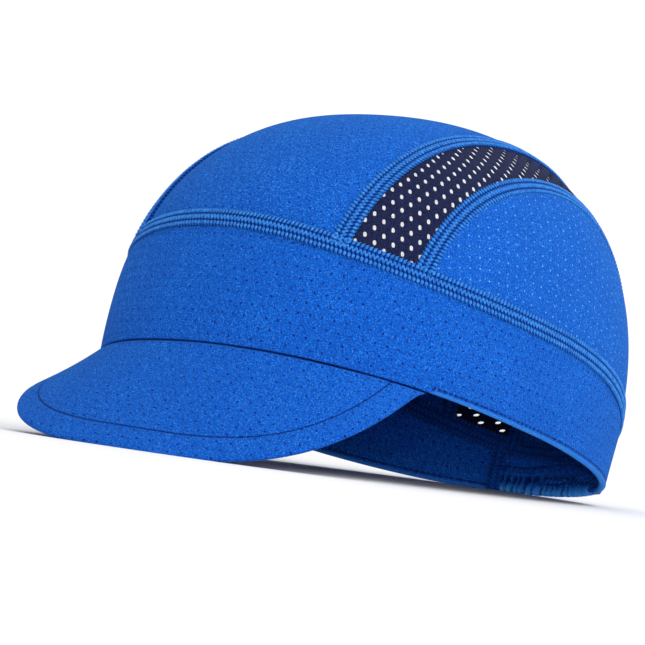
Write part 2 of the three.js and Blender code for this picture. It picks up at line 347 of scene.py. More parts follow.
def lengths_over(points, u, v):
    """How far each vertex of a laid grid is along the cloth, and across it from the middle."""
    order = np.lexsort((np.round(u, 6), np.round(v, 6)))
    columns = len(np.unique(np.round(u, 6)))
    laid = points[order].reshape(-1, columns, 3)
    middle = laid.shape[0] // 2
    along = np.concatenate([[0], np.cumsum(np.linalg.norm(np.diff(laid[middle], axis=0), axis=1))])
    steps = np.linalg.norm(np.diff(laid, axis=0), axis=2)
    across = np.concatenate([np.zeros((1, columns)), np.cumsum(steps, axis=0)])
    across -= across[middle]
    flat = np.full((len(points), 3), float(FAR_FROM_SEWING))
    flat[order, 0] = np.broadcast_to(along, across.shape).ravel()
    flat[order, 1] = across.ravel()
    return flat


def face_out(sheet):
    """Turns the faces of an open sheet away from the middle of the cap."""
    sheet.normal_update()
    middle = Vector(settle(np.array([[0.0, 0.0, 30.0]]))[0])
    facing = 0
    for face in sheet.faces:
        facing += face.normal.dot(face.calc_center_median() - middle) * face.calc_area()
    if facing < 0:
        bmesh.ops.reverse_faces(sheet, faces=sheet.faces)


def smooth_mesh(sheet, name):
    mesh = bpy.data.meshes.new(name)
    sheet.to_mesh(mesh)
    sheet.free()
    mesh.polygons.foreach_set("use_smooth", np.ones(len(mesh.polygons), bool))
    return mesh


def add_piece(name, sheet, material, nodes=()):
    mesh = smooth_mesh(sheet, name)
    mesh.materials.append(material)
    piece = bpy.data.objects.new(name, mesh)
    bpy.context.scene.collection.objects.link(piece)
    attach(piece, "root")
    if nodes:
        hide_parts(*nodes)
    return piece


def thicken(piece, wall, even=True):
    modifier = piece.modifiers.new("Wall", "SOLIDIFY")
    modifier.thickness = wall * MM
    modifier.offset = -1
    modifier.use_even_offset = even


def round_off(piece, levels):
    modifier = piece.modifiers.new("Rounding", "SUBSURF")
    modifier.levels = levels
    modifier.render_levels = levels


# Seam lines


class SeamLine:
    """A line on the form with its length, its outward direction and the direction across it."""

    def __init__(self, points, closed=False, normals=None):
        self.closed = closed
        self.points = points
        steps = np.linalg.norm(np.diff(points, axis=0), axis=1)
        self.lengths = np.concatenate([[0], np.cumsum(steps)])
        self.normals = form_normal(points) if normals is None else normals
        tangents = np.gradient(points, self.lengths, axis=0)
        if closed:
            tangents[0] = tangents[-1] = tangents[0] + tangents[-1]
        tangents /= np.linalg.norm(tangents, axis=1, keepdims=True)
        self.across = np.cross(self.normals, tangents)

    @property
    def length(self):
        return self.lengths[-1]

    def place(self, along, across, height):
        """The points at a length along the line, a distance across it and a height off the cloth."""
        if self.closed:
            along = np.mod(along, self.length)

        def between(values):
            return np.stack([np.interp(along, self.lengths, part) for part in values.T], axis=-1)

        sideways = between(self.across) * across[..., None]
        outwards = between(self.normals) * height[..., None]
        return between(self.points) + sideways + outwards


def band_seam_line():
    angle = np.linspace(0, 2 * math.pi, 721)
    return SeamLine(form_point(angle, seam_level(angle)), closed=True)


def lengthwise_seam_line(out_at, side):
    front, back = crown_stretch(out_at, gap=-0.5)
    over = np.linspace(front, back, 400)
    points = crown_point(over, out_at(over)) * np.array([side, 1, 1])
    return SeamLine(points)


def upright_seam_line(angle):
    height = np.linspace(0.5, float(band_height(angle)) - 0.5, 40)
    return SeamLine(form_point(np.full(40, angle), rim_level(angle) + height))


def left_seam_angle():
    return math.radians(180 - BACK_SEAM_LEFT)


def right_seam_angle():
    return math.radians(180 + BACK_SEAM_RIGHT)


# Shader building


def node_group(name, inputs, outputs):
    """An empty shader group with its sockets, ready for nodes."""
    group = bpy.data.node_groups.new(name, "ShaderNodeTree")
    for socket, kind, value in inputs:
        made = group.interface.new_socket(name=socket, in_out="INPUT", socket_type=kind)
        if value is not None:
            made.default_value = value
    for socket, kind in outputs:
        group.interface.new_socket(name=socket, in_out="OUTPUT", socket_type=kind)
    return group, group.nodes.new("NodeGroupInput"), group.nodes.new("NodeGroupOutput")


def feed(tree, socket, value):
    """Links value into socket, or sets it where it is a number or colour."""
    if isinstance(value, bpy.types.NodeSocket):
        tree.links.new(value, socket)
    else:
        socket.default_value = value


def calc(tree, operation, *values):
    node = tree.nodes.new("ShaderNodeMath")
    node.operation = operation
    for socket, value in zip(node.inputs, values):
        feed(tree, socket, value)
    return node.outputs[0]


def times(tree, first, second):
    return calc(tree, "MULTIPLY", first, second)


def plus(tree, first, second):
    return calc(tree, "ADD", first, second)


def minus(tree, first, second):
    return calc(tree, "SUBTRACT", first, second)


def noise(tree, place, scale, detail=2.0, roughness=0.5):
    node = tree.nodes.new("ShaderNodeTexNoise")
    feed(tree, node.inputs["Vector"], place)
    node.inputs["Scale"].default_value = scale
    node.inputs["Detail"].default_value = detail
    node.inputs["Roughness"].default_value = roughness
    return node.outputs["Fac"]


def remap(tree, value, low, high, to_low=0.0, to_high=1.0, smooth=False):
    node = tree.nodes.new("ShaderNodeMapRange")
    node.interpolation_type = "SMOOTHSTEP" if smooth else "LINEAR"
    for socket, given in zip(node.inputs, (value, low, high, to_low, to_high)):
        feed(tree, socket, given)
    return node.outputs["Result"]


def blend_colour(tree, share, first, second):
    node = tree.nodes.new("ShaderNodeMix")
    node.data_type = "RGBA"
    feed(tree, node.inputs["Factor"], share)
    feed(tree, node.inputs["A"], first)
    feed(tree, node.inputs["B"], second)
    return node.outputs["Result"]


def split(tree, vector):
    node = tree.nodes.new("ShaderNodeSeparateXYZ")
    tree.links.new(vector, node.inputs[0])
    return node.outputs


def place_group(tree, group, **values):
    """Puts a shader group into a tree, its spaces in names written as underscores."""
    node = tree.nodes.new("ShaderNodeGroup")
    node.node_tree = group
    for name, value in values.items():
        feed(tree, node.inputs[name.replace("_", " ")], value)
    return node.outputs


def heather_group():
    """Fine light and dark fibres, with slow changes of tone over a few centimetres."""
    group, enter, leave = node_group(
        "Heather",
        [("Place", "NodeSocketVector", None)],
        [("Fleck", "NodeSocketFloat"), ("Patch", "NodeSocketFloat"), ("Tone", "NodeSocketFloat")],
    )
    levels = (("Fleck", 1900.0, 0.34, 0.66), ("Patch", 260.0, 0.4, 0.6), ("Tone", 60.0, 0.3, 0.7))
    for socket, scale, low, high in levels:
        cloudy = noise(group, enter.outputs["Place"], scale, 1.5, 0.5)
        group.links.new(remap(group, cloudy, low, high), leave.inputs[socket])
    return group


def loops_group():
    """Rows of small knitted loops, as a height."""
    group, enter, leave = node_group(
        "Knitted loops",
        [
            ("Cloth", "NodeSocketVector", None),
            ("Wale", "NodeSocketFloat", 0.55),
            ("Course", "NodeSocketFloat", 0.45),
        ],
        [("Height", "NodeSocketFloat")],
    )
    x, y, _ = split(group, enter.outputs["Cloth"])
    side = minus(group, calc(group, "FRACT", calc(group, "DIVIDE", x, enter.outputs["Wale"])), 0.5)
    lean = times(group, calc(group, "ABSOLUTE", side), 1.1)
    row = calc(group, "FRACT", plus(group, calc(group, "DIVIDE", y, enter.outputs["Course"]), lean))
    bulge = calc(group, "SINE", times(group, row, math.pi))
    edge = calc(group, "COSINE", times(group, side, 2.6))
    group.links.new(times(group, bulge, edge), leave.inputs["Height"])
    return group


def perforation_group():
    """Small punched dots on a lattice that lies with the cloth."""
    group, enter, leave = node_group(
        "Perforations",
        [
            ("Cloth", "NodeSocketVector", None),
            ("Along", "NodeSocketFloat", 3.4),
            ("Across", "NodeSocketFloat", 3.4),
            ("Stagger", "NodeSocketFloat", 0.0),
            ("Radius", "NodeSocketFloat", 0.34),
        ],
        [("Dot", "NodeSocketFloat")],
    )
    x, y, _ = split(group, enter.outputs["Cloth"])
    rows = calc(group, "DIVIDE", y, enter.outputs["Across"])
    odd = calc(group, "FLOORED_MODULO", calc(group, "FLOOR", rows), 2.0)
    shift = times(group, odd, enter.outputs["Stagger"])
    columns = plus(group, calc(group, "DIVIDE", x, enter.outputs["Along"]), shift)
    side = times(group, minus(group, calc(group, "FRACT", columns), 0.5), enter.outputs["Along"])
    up = times(group, minus(group, calc(group, "FRACT", rows), 0.5), enter.outputs["Across"])
    squared = plus(group, times(group, side, side), times(group, up, up))
    away = calc(group, "SQRT", squared)
    outer = plus(group, enter.outputs["Radius"], 0.14)
    inner = minus(group, enter.outputs["Radius"], 0.1)
    group.links.new(remap(group, away, outer, inner, smooth=True), leave.inputs["Dot"])
    return group


def shared_group(name, build):
    return bpy.data.node_groups.get(name) or build()


def new_material(name, roughness, sheen, sheen_colour):
    """A material with its shader set, and the two places that patterns are read from."""
    material = bpy.data.materials.new(name)
    material.use_nodes = True
    tree = material.node_tree
    shader = tree.nodes["Principled BSDF"]
    shader.inputs["Roughness"].default_value = roughness
    shader.inputs["Sheen Weight"].default_value = sheen
    shader.inputs["Sheen Roughness"].default_value = 0.45
    shader.inputs["Sheen Tint"].default_value = sheen_colour
    shader.inputs["Specular IOR Level"].default_value = 0.06
    coordinates = tree.nodes.new("ShaderNodeTexCoord")
    cloth = tree.nodes.new("ShaderNodeAttribute")
    cloth.attribute_name = CLOTH_MAP
    return material, tree, shader, coordinates.outputs["Object"], cloth.outputs["Vector"]


def raise_surface(tree, shader, height, distance, strength=1.0):
    bump = tree.nodes.new("ShaderNodeBump")
    bump.inputs["Distance"].default_value = distance
    bump.inputs["Strength"].default_value = strength
    tree.links.new(height, bump.inputs["Height"])
    tree.links.new(bump.outputs["Normal"], shader.inputs["Normal"])


def knit_material(
    name,
    colours,
    dot_colour,
    dot_share=1.0,
    across=3.8,
    stagger=0.5,
    radius=0.38,
    spark_share=0.45,
    hem=0.0,
    hem_highlight_reach=1.5,
    dash=0.0,
):
    """Blue knitted cloth with its punched dots, creased along its sewn line; the crease gets painted shade,
    the hem fold a painted highlight, and the dots the painted shade (dark dots) and painted light (light
    dots) seen through their holes.
    """
    material, tree, shader, place, cloth = new_material(name, 0.9, 0.05, (0.2, 0.5, 1.0, 1.0))
    heather = place_group(tree, shared_group("Heather", heather_group), Place=place)
    shader.inputs["Subsurface Weight"].default_value = 0.4
    shader.inputs["Subsurface Radius"].default_value = (0.15, 0.45, 1.0)
    shader.inputs["Subsurface Scale"].default_value = 0.002
    loops = place_group(tree, shared_group("Knitted loops", loops_group), Cloth=cloth)["Height"]
    dots = place_group(
        tree,
        shared_group("Perforations", perforation_group),
        Cloth=cloth,
        Along=DOT_PITCH,
        Across=across,
        Stagger=stagger,
        Radius=radius,
    )["Dot"]
    fleck = plus(tree, times(tree, heather["Fleck"], 0.8), times(tree, loops, 0.2))
    blue = blend_colour(tree, fleck, colours.blue_dark, colours.blue_light)
    spark = remap(tree, noise(tree, place, 2100.0, 0.0), 0.58, 0.75, 0.0, spark_share)
    flecked = blend_colour(tree, spark, blue, colours.fleck)
    toned = blend_colour(tree, times(tree, heather["Tone"], 0.15), flecked, colours.blue_dark)
    # The punched holes are not cut: the dark dots are painted shade and the light dots painted light, as
    # seen through the holes.
    seen = times(tree, dots, remap(tree, heather["Patch"], 0.0, 1.0, 0.55 * dot_share, dot_share))
    spot = blend_colour(tree, seen, toned, dot_colour)
    away = calc(tree, "ABSOLUTE", split(tree, cloth)[2])
    crease = remap(tree, away, 0.12, 0.45, 1.0, 0.0, smooth=True)
    if dash:
        # The painted crease shade comes in dashes: each stitch draws the cloth in along its own length
        # alone.
        along = calc(tree, "SINE", times(tree, split(tree, cloth)[0], 2 * math.pi / dash))
        crease = times(tree, crease, remap(tree, along, -0.5, 0.1, 0.15, 1.0))
    if hem:
        # Painted highlight: the fold of the hem is painted paler, towards the bright fleck colour.
        from_fold = calc(tree, "ABSOLUTE", split(tree, cloth)[1])
        pale = remap(tree, from_fold, 0.5, hem_highlight_reach, hem, 0.0, smooth=True)
        spot = blend_colour(tree, pale, spot, colours.fleck)
    # Painted shade: the colour is darkened towards the seam shade colour along the crease.
    sewn = blend_colour(tree, times(tree, crease, 0.8), spot, colours.seam_shade_and_thread)
    tree.links.new(sewn, shader.inputs["Base Color"])
    relief = plus(tree, times(tree, loops, 0.3), times(tree, heather["Fleck"], 0.9))
    relief = minus(tree, relief, times(tree, dots, 1.4))
    relief = minus(tree, relief, times(tree, crease, 1.6))
    raise_surface(tree, shader, relief, 0.00025)
    return material


def mesh_material(colours):
    """Navy warp-knitted mesh."""
    material, tree, shader, place, cloth = new_material("Navy mesh", 0.75, 0.05, (0.5, 0.6, 1.0, 1.0))
    heather = place_group(tree, shared_group("Heather", heather_group), Place=place)
    knitted = shared_group("Knitted loops", loops_group)
    loops = place_group(tree, knitted, Cloth=cloth, Wale=0.5, Course=0.6)["Height"]
    yarn = blend_colour(tree, heather["Fleck"], colours.navy_dark, colours.navy_light)
    tree.links.new(yarn, shader.inputs["Base Color"])
    relief = plus(tree, times(tree, loops, 0.5), times(tree, heather["Fleck"], 0.4))
    raise_surface(tree, shader, relief, 0.0002)
    return material


def net_material(colours):
    """Fine pale net that light passes through, with a faint painted glow."""
    material, tree, shader, place, _ = new_material("Pale net", 0.8, 0.0, (1.0, 1.0, 1.0, 1.0))
    heather = place_group(tree, shared_group("Heather", heather_group), Place=place)
    shade = blend_colour(tree, times(tree, heather["Fleck"], 0.3), colours.net, colours.navy_light)
    tree.links.new(shade, shader.inputs["Base Color"])
    shader.inputs["Subsurface Weight"].default_value = 1.0
    shader.inputs["Subsurface Radius"].default_value = (1.0, 1.0, 1.0)
    shader.inputs["Subsurface Scale"].default_value = 0.002
    # Painted glow: the net gives off a little light of its own, so that it shows bright through the mesh
    # holes.
    shader.inputs["Emission Color"].default_value = (1.0, 1.0, 1.0, 1.0)
    shader.inputs["Emission Strength"].default_value = 0.35
    return material


def thread_material(name, dark, light):
    """Shiny sewing thread with its twist."""
    material, tree, shader, place, cloth = new_material(name, 0.55, 0.0, (0.5, 0.8, 1.0, 1.0))
    shader.inputs["Specular IOR Level"].default_value = 0.15
    strand = remap(tree, noise(tree, place, 900.0, 2.0, 0.6), 0.3, 0.7)
    tree.links.new(blend_colour(tree, strand, dark, light), shader.inputs["Base Color"])
    x, y, _ = split(tree, cloth)
    twist = calc(tree, "SINE", times(tree, plus(tree, x, times(tree, y, 1.7)), 14.0))
    raise_surface(tree, shader, twist, 0.00006)
    return material


def seam_ground_material(colours):
    """Cloth edges under the seam threads, ribbed across the seam, with shade painted into the gaps between
    the ribs.
    """
    material, tree, shader, _, cloth = new_material("Seam ground", 0.85, 0.05, (0.2, 0.5, 1.0, 1.0))
    x, _, z = split(tree, cloth)
    ribs = calc(tree, "SINE", times(tree, x, 2 * math.pi / 1.5))
    rib = remap(tree, ribs, -0.6, 0.8)
    # Painted shade: the gaps between the ribs take the dark seam shade colour, painted less dark on the
    # inside.
    shade = blend_colour(tree, times(tree, rib, 0.45), colours.seam_shade_and_thread, colours.thread_dark)
    inside = remap(tree, z, -0.3, -0.7, 0.0, 0.8)
    tree.links.new(blend_colour(tree, inside, shade, colours.blue_dark), shader.inputs["Base Color"])
    raise_surface(tree, shader, rib, 0.0003)
    return material


# Properties


def colour_property(name, description, value):
    return bpy.props.FloatVectorProperty(
        name=name, description=description, default=(*value, 1), subtype="COLOR", size=4, min=0.0, max=1.0
    )


def length_property(name, description, value):
    return bpy.props.FloatProperty(
        name=name, description=description, default=value, subtype="DISTANCE", unit="LENGTH", min=0.0
    )


class CapColours(bpy.types.PropertyGroup):
    """Colours of the cloth, the threads and the floor."""

    blue_light: colour_property("Light fibres", "Lighter fibres of the blue knit", (0.006, 0.14, 0.64))
    blue_dark: colour_property("Dark fibres", "Darker fibres of the blue knit", (0.002, 0.045, 0.33))
    # Bright fibres of the knit; the same colour is also painted along the hem fold as a highlight.
    fleck: colour_property("Bright flecks", "Fibres that catch the light", (0.06, 0.35, 1.0))
    # Punched dots are drawn as colour: the dark dots are painted shade inside their holes, the light dots
    # painted light shining through them.
    dot_dark: colour_property("Dark dots", "Punched dots on band and peak", (0.004, 0.013, 0.19))
    dot_light: colour_property("Light dots", "Punched dots on the side panels", (0.3, 0.55, 0.95))
    navy_light: colour_property("Mesh, light", "Lighter yarn of the mesh strips", (0.014, 0.02, 0.075))
    navy_dark: colour_property("Mesh, dark", "Darker yarn of the mesh strips", (0.004, 0.006, 0.026))
    net: colour_property("Net", "Pale net behind the mesh", (0.92, 0.93, 0.95))
    thread_light: colour_property("Seam thread", "Thread of the flat seams", (0.06, 0.34, 0.95))
    thread_dark: colour_property("Thread shade", "Shaded strands of the seam thread", (0.01, 0.14, 0.56))
    # Painted shade in the seams' gaps and in the knit's creases; also the dark strands of the hem thread.
    seam_shade_and_thread: colour_property("Seam shade and thread", "Needle holes and gaps of the flat seams", (0.0, 0.01, 0.13))
    floor: colour_property("Floor", "Studio floor", (0.9, 0.9, 0.9))


class CapSewing(bpy.types.PropertyGroup):
    """Sizes of the seams, the stitches and the mesh."""

    seam_width: length_property("Seam width", "Width of a flat seam", 0.0064)
    seam_rise: length_property("Seam rise", "How far a flat seam stands off the cloth", 0.0004)
    stitch_pitch: length_property("Stitch pitch", "Length of one flat seam stitch", 0.0015)
    thread_width: length_property("Thread width", "Width of a seam thread", 0.0007)
    hole_pitch: length_property("Hole pitch", "Distance between the columns of mesh holes", 0.00295)
    hole_length: length_property("Hole length", "Length of a mesh hole before it is rounded", 0.0021)
    hole_width: length_property("Hole width", "Width of a mesh hole before it is rounded", 0.0008)
    mesh_wall: length_property("Mesh thickness", "Thickness of the mesh", 0.0009)
    hem_stitch: length_property("Hem stitch", "Height of the stitch line above the hem", 0.002)
    peak_stitch: length_property("Peak stitch", "Distance of the stitch line from the peak's edge", 0.009)


# Bands


def hem_profile(share, top, bend):
    """Height and depth along the band's cloth, from its turned-in edge, round the hem, up to its top."""
    turned = 0.18
    folded = 0.4
    middle = HEM_WALL / 2
    fold = np.clip((share - turned) / (folded - turned), 0, 1) * math.pi
    inner = np.clip(share / turned, 0, 1)
    outer = np.clip((share - folded) / (1 - folded), 0, 1)
    height = np.where(
        share < turned,
        HEM_HEIGHT + (bend - HEM_HEIGHT) * inner,
        np.where(share < folded, bend - bend * np.sin(fold), bend + (top - bend) * outer),
    )
    depth = np.where(share < folded, middle + middle * np.cos(fold), 0)
    return height, depth


def beyond_peak(angle, ease=4.0):
    """Nought where the peak is sewn to the hem, one beyond it, over a few degrees."""
    beyond = np.clip((np.abs(np.degrees(angle)) - PEAK_HALF_ANGLE) / ease + 0.5, 0, 1)
    return beyond**2 * (3 - 2 * beyond)


def hem_stitch_height(angle, stitch):
    """The stitch line above the hem, which runs down under the peak where that begins."""
    return (stitch + HEM_STITCH_DROP) * beyond_peak(angle, 1.2) - HEM_STITCH_DROP


def band_sheet(from_angle, to_angle, columns, rows, relief, stitch, ripple=None, valley=None):
    sheet = grid(columns, rows)
    u, v = shares(sheet)
    ease = along_cloth(SEAM_GAP / 2)
    angle = from_angle + ease + (to_angle - from_angle - 2 * ease) * u
    top = band_height(angle) - SEAM_GAP / 2
    height, depth = hem_profile(v, top, HEM_WALL / 2 * (0.2 + 0.8 * beyond_peak(angle)))
    raised = height + (ripple(angle, height) if ripple else 0)
    base = form_point(angle, rim_level(angle) + raised)
    lift = relief(angle, height, depth)
    points = base + form_normal(base) * (lift - depth)[:, None]
    around = np.linspace(from_angle, to_angle, 200)
    line = form_point(around, rim_level(around) + BAND_MIDDLE)
    lengths = np.concatenate([[0], np.cumsum(np.linalg.norm(np.diff(line, axis=0), axis=1))])
    # Where the peak is sewn to it, the fold of the hem gets no painted highlight.
    covered = height + 3 * (1 - beyond_peak(angle))
    unfolded = np.where(depth > HEM_WALL / 2, -covered, covered)
    # The third number of the pattern places the knit's painted crease shade: along the hem stitch, and in
    # the gather valleys.
    creased = valley(angle, height) if ripple else height - hem_stitch_height(angle, stitch)
    lay(sheet, points, np.stack([np.interp(angle, around, lengths), unfolded, creased], axis=-1))
    face_out(sheet)
    return sheet


def dip(distance, width):
    return np.exp(-((distance / width) ** 2))


def band_seat(angle, height):
    """The band's cloth dips to the seam along its top."""
    return -SEAT_DEPTH * dip(band_height(angle) - height, SEAT_WIDTH)


class CAP_OT_front_band(bpy.types.Operator):
    """Make the wide band that runs from one upright seam round the front to the other"""

    bl_idname = "cap.front_band"
    bl_label = "Front band"

    def execute(self, context):
        colours = context.scene.cap_colours
        stitch = context.scene.cap_sewing.hem_stitch / MM

        def relief(angle, height, depth):
            around = angle * BAND_RADIUS
            puffed = 0.15 * dip(height - 1.2, 0.9) * beyond_peak(angle)
            stitched = puffed - 0.4 * dip(height - hem_stitch_height(angle, stitch), 0.6)
            worn = 0.3 * unevenness(around, height, 11.0) * np.clip(height / 10, 0, 1)
            # The end of the stiff peak puckers the band above it.
            near_end = dip(around - math.radians(PEAK_HALF_ANGLE) * BAND_RADIUS, 9) * dip(height - 7, 7)
            pucker = 0.7 * np.sin((around - height * 0.8) * 0.9) * near_end
            outside = band_seat(angle, height) + stitched + worn + pucker
            return np.where(depth < HEM_WALL / 2, outside, worn - 0.5 * stitched)

        sheet = band_sheet(right_seam_angle() - 2 * math.pi, left_seam_angle(), 260, 44, relief, stitch)
        # The band's dark dots and crease are painted shade, and its hem fold a painted highlight.
        material = knit_material("Band knit", colours, colours.dot_dark, hem=0.4, dash=HEM_STITCH_PITCH)
        piece = add_piece("front_band_cloth", sheet, material, ["front_band"])
        thicken(piece, CLOTH_WALL)
        return {"FINISHED"}


def gathers(angle, height):
    """The waves that the elastic pulls into the hem, and how far along them each place is."""
    along = (angle - left_seam_angle()) * FORM_HALF_LENGTH
    stretch = (right_seam_angle() - left_seam_angle()) * FORM_HALF_LENGTH
    beside = np.clip(np.minimum(along, stretch - along) / 5, 0, 1)
    phase = along * 2 * math.pi / GATHER_PITCH + 1.3 * np.sin(along * 0.31) + 0.7 * np.sin(along * 0.83 + 1)
    return along, beside, phase + 0.35 * height


def gather_relief(angle, height):
    """How far the elastic section stands out: tight gathers at the hem, soft folds above them."""
    along, beside, phase = gathers(angle, height)
    share = np.clip(height / band_height(angle), 0, 1)
    tight = 1.1 * np.sin(phase) * (1 - share) ** 1.5
    toward_seams = np.exp(-along / 14) + np.exp((along - ELASTIC_LENGTH) / 14)
    sweep = height * 1.25 + 1.3 * np.sin(along * 0.13) + 2.2 * toward_seams
    folds = 0.9 * np.sin(sweep) * np.sin(share * math.pi) ** 1.5
    return (tight + folds) * beside


def gather_ripple(angle, height):
    """How far the gathered hem is drawn up."""
    _, beside, phase = gathers(angle, 0)
    return 0.45 * (1 + np.sin(phase + 0.8)) * beside * dip(height, 4)


def gather_valley(angle, height):
    """The crease value of the gathers, which is small along the folds that stand furthest in, where the
    knit gets painted shade.
    """
    inward = np.clip(gather_relief(angle, height) / 0.9, 0, 1)
    return 0.5 - 0.4 * inward


class CAP_OT_back_band(bpy.types.Operator):
    """Make the short elastic section at the back, gathered along its hem"""

    bl_idname = "cap.back_band"
    bl_label = "Gathered back"

    def execute(self, context):
        colours = context.scene.cap_colours
        stitch = context.scene.cap_sewing.hem_stitch / MM

        def relief(angle, height, depth):
            return gather_relief(angle, height) + band_seat(angle, height)

        ends = (left_seam_angle(), right_seam_angle())
        sheet = band_sheet(*ends, 300, 44, relief, stitch, gather_ripple, gather_valley)
        dots = colours.dot_dark
        # The elastic's hem fold gets a wider painted highlight, and its gather valleys painted shade.
        material = knit_material("Elastic knit", colours, dots, dot_share=0.6, hem=0.9, hem_highlight_reach=3.5)
        piece = add_piece("back_band_cloth", sheet, material, ["back_band"])
        thicken(piece, CLOTH_WALL)
        return {"FINISHED"}


# Crown


def lengthwise_points(u, v, out_at):
    """Points of a lengthwise panel: u runs from the front band to the back band, v across."""
    lines, which = np.unique(np.round(v, 9), return_inverse=True)
    front, back = crown_stretch(lambda over: out_at(over, lines))
    over = front[which] + (back[which] - front[which]) * u
    return crown_point(over, out_at(over, v))


def panel_relief(u, v, flat, length, width, swell):
    """How far a panel's cloth stands off the form: filled out in the middle, and down at its seams."""
    sideways = np.minimum(v, 1 - v) * width
    endways = np.minimum(u, 1 - u) * length
    seat = -SEAT_DEPTH * np.maximum(dip(sideways, SEAT_WIDTH), dip(endways, SEAT_WIDTH))
    filled = swell * np.sin(math.pi * v) * np.sin(math.pi * u)
    return seat + filled + 0.22 * unevenness(flat[:, 0], flat[:, 1], 13.0)


class CAP_OT_crown_panels(bpy.types.Operator):
    """Make the centre panel and the two side panels"""

    bl_idname = "cap.crown_panels"
    bl_label = "Crown panels"

    def execute(self, context):
        colours = context.scene.cap_colours
        beside = along_cloth(SEAM_GAP / 2)
        dots = colours.dot_dark
        crown = knit_material(
            "Centre panel knit", colours, dots, dot_share=0.75, across=2.95, spark_share=0.6
        )
        # The side panels' dots are painted light shining through their holes.
        dots = colours.dot_light
        side = knit_material("Side knit", colours, dots, stagger=0.0, radius=0.24, spark_share=0.55)

        sheet = grid(120, 44)
        u, v = shares(sheet)
        points = lengthwise_points(u, v, lambda over, w: (centre_seam_out(over) - beside) * (1 - 2 * w))
        flat = lengths_over(points, u, v)
        rise = panel_relief(u, v, flat, length=230, width=70, swell=0.4)
        points = points + form_normal(points) * rise[:, None]
        lay(sheet, points, flat[:, [1, 0, 2]])
        face_out(sheet)
        piece = add_piece("centre_panel_cloth", sheet, crown, ["centre_panel"])
        thicken(piece, PANEL_WALL)
        for hand, sign in (("left", 1), ("right", -1)):
            sheet = self.side_panel(sign, beside)
            name = "side_panel_" + hand + "_cloth"
            piece = add_piece(name, sheet, side, ["side_panel_" + hand])
            thicken(piece, PANEL_WALL)
        return {"FINISHED"}

    def side_panel(self, sign, beside):
        """A side panel spans from the band seam up to its lengthwise seam and ends in two corners."""

        def out_at(over):
            return side_seam_out(over) + beside

        def seam_point(over):
            return crown_point(over, out_at(over))

        front, back = crown_stretch(out_at)
        sheet = grid(96, 34)
        u, v = shares(sheet)
        across = v if sign > 0 else 1 - v
        front_angle = form_angle(seam_point(front))
        back_angle = form_angle(seam_point(back))
        angle = front_angle + (back_angle - front_angle) * u
        low = form_point(angle, seam_level(angle) + SEAM_GAP / 2)
        high = seam_point(front + (back - front) * u)
        between = low + (high - low) * across[:, None] - np.array([0, 0, WIDEST_LEVEL])
        points = form_point_toward(between / np.linalg.norm(between, axis=1, keepdims=True))
        flat = lengths_over(points, u, v)
        rise = panel_relief(u, across, flat, length=130, width=60, swell=0.5)
        points = (points + form_normal(points) * rise[:, None]) * np.array([sign, 1, 1])
        turn = np.array(Matrix.Rotation(math.radians(SIDE_DOTS_TURN), 3, "Z"))
        lay(sheet, points, flat @ turn.T)
        face_out(sheet)
        return sheet


# Mesh strips


def strip_out(over, across):
    """The out angle of a place on the left strip, by its share of the way up to the centre panel."""
    beside = along_cloth(SEAM_GAP / 2)
    outer = side_seam_out(over) - beside
    inner = centre_seam_out(over) + beside
    return outer + (inner - outer) * across


@functools.cache
def strip_table():
    """The angle over the crown, and the strip's width, against the length along its middle."""
    over = np.linspace(math.radians(-12), math.radians(192), 400)
    lines = crown_point(over[:, None], strip_out(over[:, None], np.linspace(0, 1, 9)))
    lengths = np.concatenate([[0], np.cumsum(np.linalg.norm(np.diff(lines[:, 4], axis=0), axis=1))])
    widths = np.sum(np.linalg.norm(np.diff(lines, axis=1), axis=2), axis=1)
    return over, lengths, widths


def strip_points(along, across, sign):
    """Points at a length along a strip and a share across it, stopped at the seams."""
    overs, lengths, _ = strip_table()
    across = np.clip(across, 0, 1)
    lines = np.linspace(0, 1, 25)
    front, back = crown_stretch(lambda over: strip_out(over, lines))
    over = np.interp(along, lengths, overs)
    over = np.clip(over, np.interp(across, lines, front), np.interp(across, lines, back))
    return crown_point(over, strip_out(over, across)) * np.array([sign, 1, 1])


def drop_loose(sheet):
    loose = [vert for vert in sheet.verts if not vert.link_faces]
    bmesh.ops.delete(sheet, geom=loose, context="VERTS")
    loose = [edge for edge in sheet.edges if not edge.link_faces]
    bmesh.ops.delete(sheet, geom=loose, context="EDGES")


